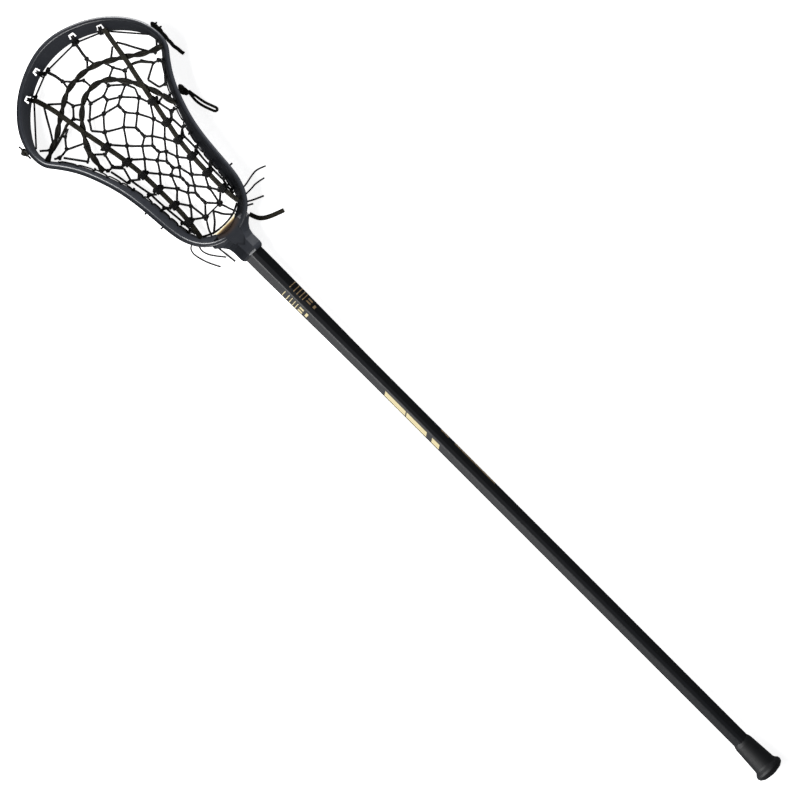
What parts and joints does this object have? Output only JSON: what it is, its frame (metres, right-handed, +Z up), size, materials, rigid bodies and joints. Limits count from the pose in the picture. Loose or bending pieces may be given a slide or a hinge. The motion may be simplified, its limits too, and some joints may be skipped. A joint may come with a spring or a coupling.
{
  "type": "lacrosse stick",
  "caption": "Field lacrosse stick with a strung shallow pocket, a tapered octagonal shaft and a rubber butt cap.",
  "frame": {"origin": "under the middle of the stick, on the surface that it lies on, face up", "axes": "+Y runs from the butt to the scoop, +X across the stick, +Z up out of the face"},
  "size_m": [0.2002, 1.0907, 0.044],
  "materials": {
    "head_nylon": "satin moulded nylon",
    "lip_bronze": "pale gold fading to brown",
    "shaft_satin": "black satin anodised, with pale gold bars",
    "cap_rubber": "matt",
    "screw_steel": "blackened",
    "thong_leather": "dull olive black",
    "net_string": "waxed twisted string",
    "lace_cord": "braided lace"
  },
  "bodies": {
    "stick": {"head_frame": "head_nylon", "ball_stop": "lip_bronze", "shaft_tube": "shaft_satin", "butt_cap": "cap_rubber", "head_screw": "screw_steel", "scoop_string": "net_string", "left_wall_string": "net_string", "right_wall_string": "net_string", "throat_string": "net_string", "left_scoop_knot": "lace_cord", "right_rim_knot": "lace_cord", "lower_lace_knot": "lace_cord", "right_long_end": "net_string", "right_short_end": "net_string", "left_long_end": "net_string", "left_short_end": "net_string", "upper_lace_end": "lace_cord", "lower_lace_end": "lace_cord", "leather_end": "thong_leather", "short_ends": "net_string"},
    "pocket": {"centre_net": "net_string", "left_side_net": "net_string", "right_side_net": "net_string", "left_thong": "thong_leather", "right_thong": "thong_leather", "upper_lace": "lace_cord", "lower_lace": "lace_cord"}
  },
  "joints": [
    {"name": "pocket_give", "type": "slide", "parent": "stick", "child": "pocket", "axis": [0, 0, 1], "range_m": [0, 0.005], "deforming": ["centre_net", "left_side_net", "right_side_net", "left_thong", "right_thong", "upper_lace", "lower_lace"]}
  ]
}
